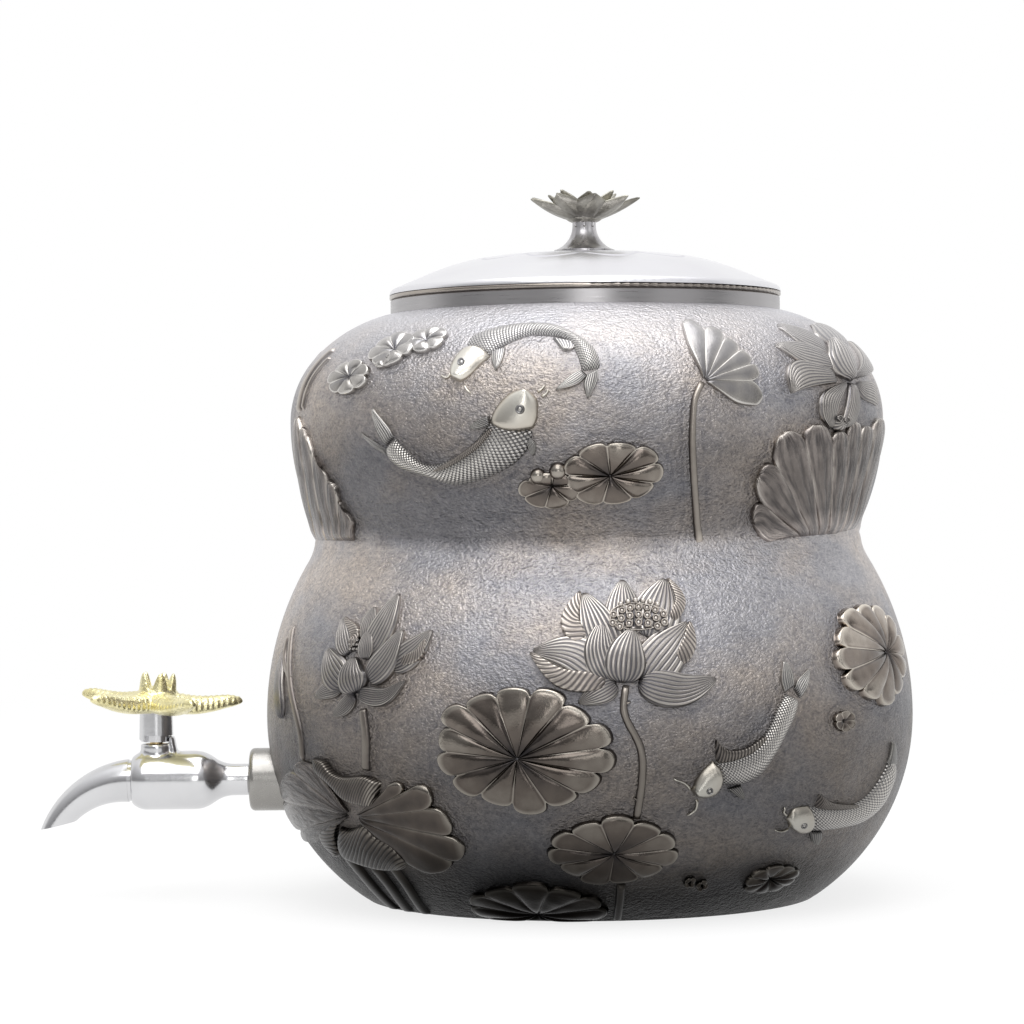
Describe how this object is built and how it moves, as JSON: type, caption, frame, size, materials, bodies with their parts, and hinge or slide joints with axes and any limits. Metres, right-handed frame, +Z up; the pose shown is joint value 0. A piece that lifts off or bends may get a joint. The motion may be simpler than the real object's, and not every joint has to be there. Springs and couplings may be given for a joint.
{
  "type": "metal water dispenser",
  "caption": "Gourd-shaped metal water jar with a lift-off domed lid, a lotus knob and a quarter-turn ball tap with a starfish handle.",
  "frame": {"origin": "centre of the flat base, where the jar stands on a table", "axes": "+Z up along the jar's axis, -X out along the tap, so the picture looks along +Y"},
  "size_m": [0.4067, 0.3032, 0.3282],
  "materials": {
    "vessel_metal": "patinated and hand hammered",
    "leaf_metal": "bronze patina, glossy",
    "koi_metal": "brightened by rubbing",
    "base_metal": "dull",
    "bright_metal": "polished",
    "rim_metal": "warm, worn",
    "boss_metal": "satin",
    "tap_chrome": "polished",
    "ball_chrome": "polished",
    "inner_brass": "machined",
    "handle_brass": "pale, polished on the high spots",
    "knob_metal": "patinated",
    "flower_metal": "olive patina",
    "seal_rubber": "matt",
    "seat_plastic": "white"
  },
  "bodies": {
    "vessel": {"lower_shell": "vessel_metal", "upper_shell": "vessel_metal", "leaf_relief": "leaf_metal", "lotus_relief": "vessel_metal", "koi_relief": "koi_metal", "base_plate": "base_metal", "neck_collar": "bright_metal", "tap_boss": "boss_metal", "tap_seal": "seal_rubber", "tap_body": "tap_chrome", "ball_seats": "seat_plastic", "gland_nut": "inner_brass", "tap_spout": "tap_chrome"},
    "lid": {"lid_dome": "bright_metal", "lid_rim": "rim_metal", "lid_skirt": "bright_metal", "knob_stem": "knob_metal", "knob_flower": "flower_metal", "knob_washer": "base_metal", "knob_bolt": "base_metal"},
    "tap_handle": {"starfish_handle": "handle_brass", "handle_ferrule": "tap_chrome", "ferrule_set_screw": "base_metal", "spindle": "inner_brass", "spindle_ring": "seal_rubber", "valve_ball": "ball_chrome"}
  },
  "joints": [
    {"name": "lid_lift", "type": "slide", "parent": "vessel", "child": "lid", "axis": [0, 0, 1], "range_m": [0, 0.08]},
    {"name": "tap_turn", "type": "hinge", "parent": "vessel", "child": "tap_handle", "pos_m": [-0.20227, 0, 0.08], "axis": [0, 0, 1], "range_deg": [0, 90]}
  ]
}
